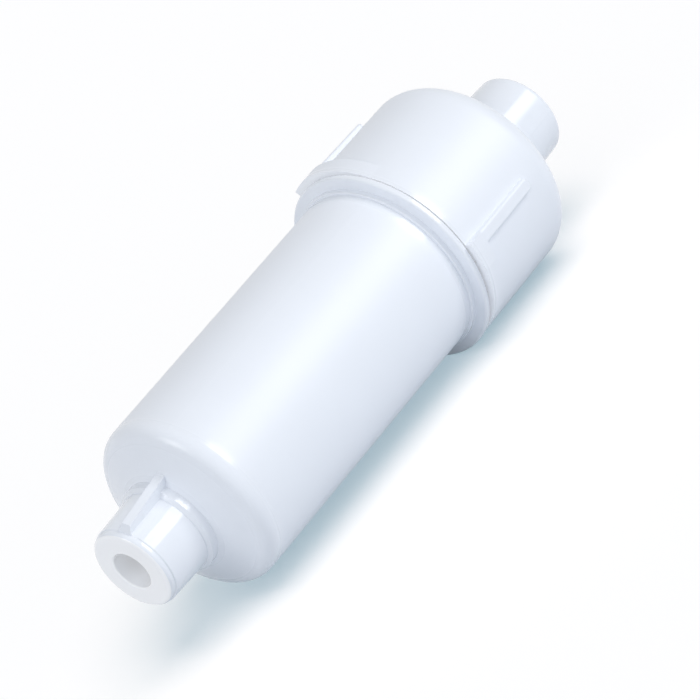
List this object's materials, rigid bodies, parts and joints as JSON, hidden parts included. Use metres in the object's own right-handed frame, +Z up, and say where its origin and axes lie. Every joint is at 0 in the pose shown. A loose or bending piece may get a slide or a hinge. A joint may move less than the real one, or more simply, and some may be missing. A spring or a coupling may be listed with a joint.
{
  "type": "inline filter",
  "caption": "Inline filter: smooth cylindrical bowl with a ribbed inlet nozzle, a flanged joint and a screw cap with grip ramps and an outlet port, round a pleated cartridge.",
  "frame": {"origin": "on the surface it lies on, under the middle of the bounding box", "axes": "+X along the filter's axis, from the inlet nozzle to the outlet port; +Z up"},
  "size_m": [0.1762, 0.0596, 0.0588],
  "materials": {
    "white_polypropylene": "glossy",
    "black_rubber": "satin",
    "clear_nylon": "satin",
    "spring_steel": "bright",
    "mesh_steel": "satin",
    "natural_polypropylene": "satin",
    "pleated_paper": "matt",
    "support_fleece": "matt",
    "bonding_resin": "satin"
  },
  "bodies": {
    "housing": {"bowl": "white_polypropylene", "body_o_ring": "black_rubber", "slip_washer": "clear_nylon", "inlet_screen": "mesh_steel", "inlet_screen_frame": "natural_polypropylene", "spring_seat": "clear_nylon", "cartridge_spring": "spring_steel"},
    "cartridge": {"closed_end_cap": "natural_polypropylene", "closed_end_bond": "bonding_resin", "outer_cage": "natural_polypropylene", "pleat_wrap": "support_fleece", "pleated_media": "pleated_paper", "core_wrap": "support_fleece", "core_tube": "natural_polypropylene", "open_end_bond": "bonding_resin", "open_end_cap": "natural_polypropylene", "lower_spigot_o_ring": "black_rubber", "upper_spigot_o_ring": "black_rubber"},
    "screw_cap": {"cap": "white_polypropylene", "outlet_screen": "mesh_steel", "outlet_screen_frame": "natural_polypropylene"}
  },
  "joints": [
    {"name": "cap_lift", "type": "slide", "parent": "housing", "child": "cartridge", "axis": [1, 0, 0], "range_m": [0, 0.01], "deforming": ["cartridge_spring"]},
    {"name": "cap_turn", "type": "hinge", "parent": "cartridge", "child": "screw_cap", "pos_m": [0.0577, 0.00097, 0.0288], "axis": [1, 0, 0], "range_deg": [0, 900]}
  ],
  "couplings": [
    {"joint": "cap_lift", "follows": "cap_turn", "m_per_rad": 0.00063662}
  ]
}
